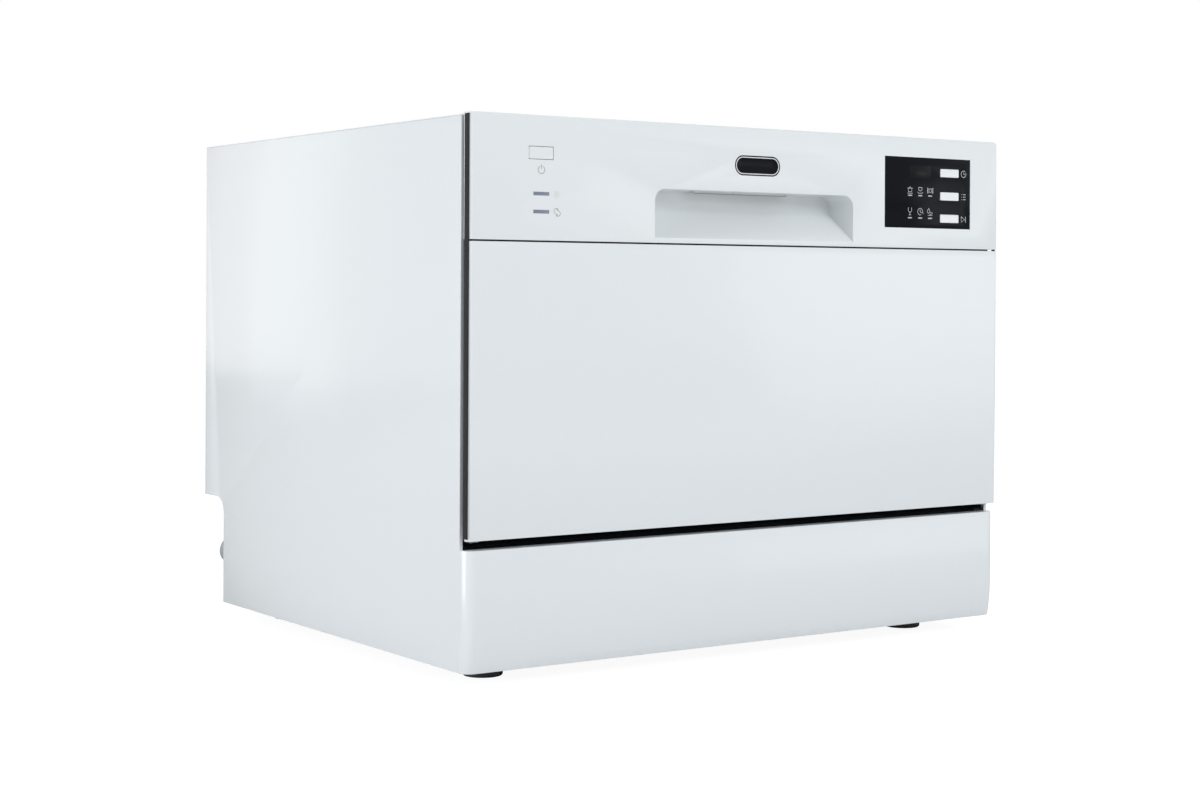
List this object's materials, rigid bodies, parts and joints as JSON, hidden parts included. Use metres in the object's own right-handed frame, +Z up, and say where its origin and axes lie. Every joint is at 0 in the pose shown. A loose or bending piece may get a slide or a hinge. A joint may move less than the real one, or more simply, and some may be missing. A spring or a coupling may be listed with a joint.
{
  "type": "countertop dishwasher",
  "caption": "Free-standing countertop dishwasher with a drop-down door, sliding wash rack, spray arm, pumps, dispenser and working latch and buttons.",
  "frame": {"origin": "centre of the footprint on the worktop, under the feet", "axes": "+X to the right seen from the front, +Y towards the rear, +Z up"},
  "size_m": [0.55, 0.5, 0.438],
  "materials": {
    "case_paint": "gloss",
    "door_paint": "gloss",
    "rear_sheet": "satin",
    "front_plastic": "gloss",
    "button_plastic": "gloss",
    "key_plastic": "gloss",
    "black_gloss": "gloss",
    "lens_grey": "gloss",
    "stainless": "brushed",
    "zinc_steel": "satin",
    "seal_rubber": "matte",
    "foot_plastic": "matte",
    "base_plastic": "matte",
    "grey_plastic": "satin",
    "lid_plastic": "satin",
    "mesh_steel": "satin",
    "pump_plastic": "satin",
    "white_plastic": "satin",
    "hose_rubber": "matte",
    "board_green": "satin",
    "rack_coat": "satin",
    "basket_plastic": "satin",
    "roller_plastic": "satin"
  },
  "bodies": {
    "cabinet": {"left_side_panel": "case_paint", "right_side_panel": "case_paint", "top_cover": "case_paint", "rear_panel": "rear_sheet", "base_tray": "base_plastic", "kickplate": "front_plastic", "sill_trim": "black_gloss", "tub": "stainless", "tub_frame": "stainless", "door_seals": "seal_rubber", "strike_plate": "zinc_steel", "hinge_brackets": "zinc_steel", "rear_feet": "foot_plastic", "case_screws": "zinc_steel", "sump": "grey_plastic", "fine_filter": "mesh_steel", "heater": "mesh_steel", "wash_pump": "pump_plastic", "drain_pump": "pump_plastic", "softener": "white_plastic", "inlet_valve": "grey_plastic", "air_break": "white_plastic", "inlet_hose": "hose_rubber", "drain_hose": "hose_rubber", "drain_spigot": "grey_plastic", "cord_gland": "hose_rubber"},
    "foot_left": {"front_foot_left": "foot_plastic"},
    "foot_right": {"front_foot_right": "foot_plastic"},
    "door": {"door_outer_panel": "door_paint", "fascia": "front_plastic", "badge_plate": "black_gloss", "display_window": "black_gloss", "indicator_lenses": "lens_grey", "latch_body": "pump_plastic", "door_switch": "pump_plastic", "door_liner": "stainless", "control_board": "board_green", "dispenser_body": "grey_plastic", "hinge_arms": "zinc_steel"},
    "paddle": {"latch_paddle": "pump_plastic"},
    "hook": {"latch_hook": "pump_plastic"},
    "power_button": {"power_button": "button_plastic"},
    "timer_key": {"timer_key": "key_plastic"},
    "program_key": {"program_key": "key_plastic"},
    "start_key": {"start_key": "key_plastic"},
    "detergent_lid": {"detergent_lid": "lid_plastic"},
    "rinse_aid_cap": {"rinse_aid_cap": "grey_plastic"},
    "rack": {"rack": "rack_coat"},
    "cup_shelf": {"cup_shelf": "rack_coat"},
    "cutlery_basket": {"cutlery_basket": "basket_plastic"},
    "roller_front_left": {"rack_roller_front_left": "roller_plastic"},
    "roller_front_right": {"rack_roller_front_right": "roller_plastic"},
    "roller_rear_left": {"rack_roller_rear_left": "roller_plastic"},
    "roller_rear_right": {"rack_roller_rear_right": "roller_plastic"},
    "spray_arm": {"spray_arm": "grey_plastic"},
    "filter_cup": {"filter_cup": "grey_plastic"},
    "wash_impeller": {"wash_impeller": "pump_plastic"},
    "drain_impeller": {"drain_impeller": "pump_plastic"},
    "salt_cap": {"salt_cap": "grey_plastic"},
    "float": {"float": "grey_plastic"}
  },
  "joints": [
    {"name": "door_hinge", "type": "hinge", "parent": "cabinet", "child": "door", "pos_m": [0, -0.241, 0.118], "axis": [1, 0, 0], "range_deg": [0, 90]},
    {"name": "latch_paddle", "type": "hinge", "parent": "door", "child": "paddle", "pos_m": [0, -0.223, 0.402], "axis": [1, 0, 0], "range_deg": [0, 12], "stiffness_Nm_per_rad": 0.5, "springref_deg": -11.46},
    {"name": "latch_hook", "type": "hinge", "parent": "door", "child": "hook", "pos_m": [0, -0.217, 0.414], "axis": [1, 0, 0], "range_deg": [-12, 0]},
    {"name": "power_button", "type": "slide", "parent": "door", "child": "power_button", "axis": [0, 1, 0], "range_m": [0, 0.002], "stiffness_N_per_m": 500, "springref_m": -0.002},
    {"name": "timer_key", "type": "slide", "parent": "door", "child": "timer_key", "axis": [0, 1, 0], "range_m": [0, 0.0015], "stiffness_N_per_m": 500, "springref_m": -0.002},
    {"name": "program_key", "type": "slide", "parent": "door", "child": "program_key", "axis": [0, 1, 0], "range_m": [0, 0.0015], "stiffness_N_per_m": 500, "springref_m": -0.002},
    {"name": "start_key", "type": "slide", "parent": "door", "child": "start_key", "axis": [0, 1, 0], "range_m": [0, 0.0015], "stiffness_N_per_m": 500, "springref_m": -0.002},
    {"name": "detergent_lid", "type": "slide", "parent": "door", "child": "detergent_lid", "axis": [1, 0, 0], "range_m": [0, 0.05]},
    {"name": "rinse_aid_cap", "type": "hinge", "parent": "door", "child": "rinse_aid_cap", "pos_m": [0.058, -0.205, 0.29], "axis": [0, 1, 0], "range_deg": [0, 90]},
    {"name": "rack_slide", "type": "slide", "parent": "cabinet", "child": "rack", "axis": [0, -1, 0], "range_m": [0, 0.158]},
    {"name": "cup_shelf_fold", "type": "hinge", "parent": "rack", "child": "cup_shelf", "pos_m": [-0.2258, -0.01, 0.3], "axis": [0, -1, 0], "range_deg": [0, 90]},
    {"name": "cutlery_basket_lift", "type": "slide", "parent": "rack", "child": "cutlery_basket", "axis": [0, 0, 1], "range_m": [0, 0.07]},
    {"name": "roller_front_left_turn", "type": "hinge", "parent": "cabinet", "child": "roller_front_left", "pos_m": [-0.235, -0.166, 0.205], "axis": [1, 0, 0], "range_deg": [0, 822]},
    {"name": "roller_rear_left_turn", "type": "hinge", "parent": "cabinet", "child": "roller_rear_left", "pos_m": [-0.235, -0.064, 0.205], "axis": [1, 0, 0], "range_deg": [0, 822]},
    {"name": "roller_front_right_turn", "type": "hinge", "parent": "cabinet", "child": "roller_front_right", "pos_m": [0.235, -0.166, 0.205], "axis": [1, 0, 0], "range_deg": [0, 822]},
    {"name": "roller_rear_right_turn", "type": "hinge", "parent": "cabinet", "child": "roller_rear_right", "pos_m": [0.235, -0.064, 0.205], "axis": [1, 0, 0], "range_deg": [0, 822]},
    {"name": "spray_arm_spin", "type": "hinge", "parent": "cabinet", "child": "spray_arm", "pos_m": [0, -0.007, 0.147], "axis": [0, 0, 1], "continuous": true},
    {"name": "filter_cup_turn", "type": "hinge", "parent": "cabinet", "child": "filter_cup", "pos_m": [0, -0.04, 0.12], "axis": [0, 0, 1], "range_deg": [0, 90]},
    {"name": "wash_impeller_spin", "type": "hinge", "parent": "cabinet", "child": "wash_impeller", "pos_m": [0.105, -0.007, 0.076], "axis": [1, 0, 0], "continuous": true},
    {"name": "drain_impeller_spin", "type": "hinge", "parent": "cabinet", "child": "drain_impeller", "pos_m": [0, 0.075, 0.08], "axis": [0, 1, 0], "continuous": true},
    {"name": "salt_cap_turn", "type": "hinge", "parent": "cabinet", "child": "salt_cap", "pos_m": [-0.195, -0.125, 0.138], "axis": [0, 0, 1], "range_deg": [0, 360]},
    {"name": "float_rise", "type": "slide", "parent": "cabinet", "child": "float", "axis": [0, 0, 1], "range_m": [0, 0.006]},
    {"name": "front_foot_left_turn", "type": "hinge", "parent": "cabinet", "child": "foot_left", "pos_m": [-0.222, -0.184, 0.004], "axis": [0, 0, 1], "range_deg": [0, 1080]},
    {"name": "front_foot_right_turn", "type": "hinge", "parent": "cabinet", "child": "foot_right", "pos_m": [0.222, -0.184, 0.004], "axis": [0, 0, 1], "range_deg": [0, 1080]}
  ],
  "couplings": [
    {"joint": "latch_hook", "follows": "latch_paddle", "ratio": -1},
    {"joint": "rack_slide", "follows": "door_hinge", "m_per_rad": 0.1},
    {"joint": "roller_front_left_turn", "follows": "door_hinge", "ratio": 9.0909},
    {"joint": "roller_rear_left_turn", "follows": "door_hinge", "ratio": 9.0909},
    {"joint": "roller_front_right_turn", "follows": "door_hinge", "ratio": 9.0909},
    {"joint": "roller_rear_right_turn", "follows": "door_hinge", "ratio": 9.0909}
  ]
}
